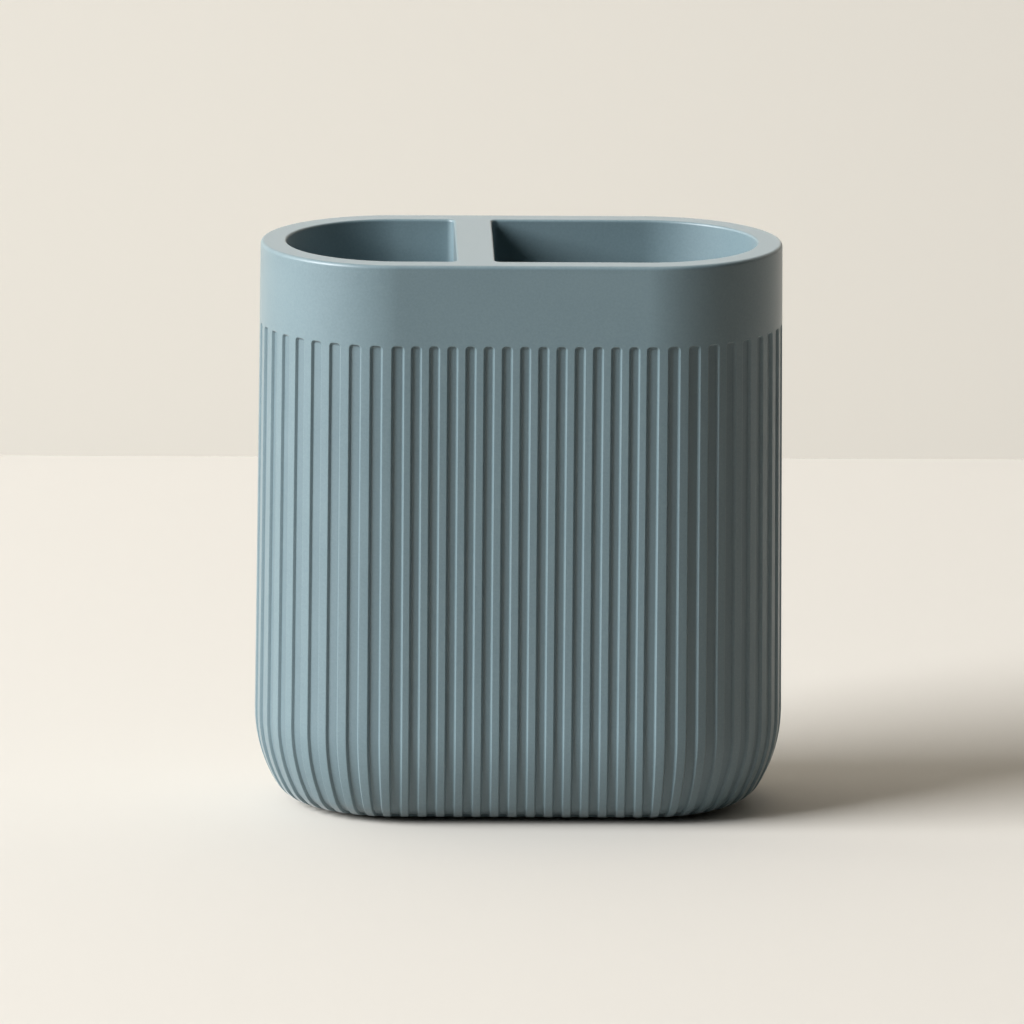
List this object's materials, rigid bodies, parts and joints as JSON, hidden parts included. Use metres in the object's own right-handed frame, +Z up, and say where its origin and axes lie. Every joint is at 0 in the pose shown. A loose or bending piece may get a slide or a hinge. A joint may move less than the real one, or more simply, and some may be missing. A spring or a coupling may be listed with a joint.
{
  "type": "toothbrush holder",
  "caption": "Free-standing fluted toothbrush holder with a smooth rim and a divider that parts a small pocket from a large one, on hidden non-slip feet.",
  "frame": {"origin": "on the surface the holder stands on, under the middle of the body", "axes": "+Z up; X along the long side with the small pocket on the -X side; -Y is the front"},
  "size_m": [0.1118, 0.0598, 0.121],
  "materials": {
    "shell": "soft-touch matte, dusty blue",
    "liner": "soft-touch matte, dusty blue",
    "seal": "dull silicone",
    "foot": "dull thermoplastic rubber",
    "screw": "plain stainless"
  },
  "bodies": {
    "root": {"outer_shell": "shell", "cup_liner": "liner", "rim_seal": "seal", "foot_front_left": "foot", "foot_front_right": "foot", "foot_back_left": "foot", "foot_back_right": "foot", "base_screws": "screw"}
  },
  "joints": []
}
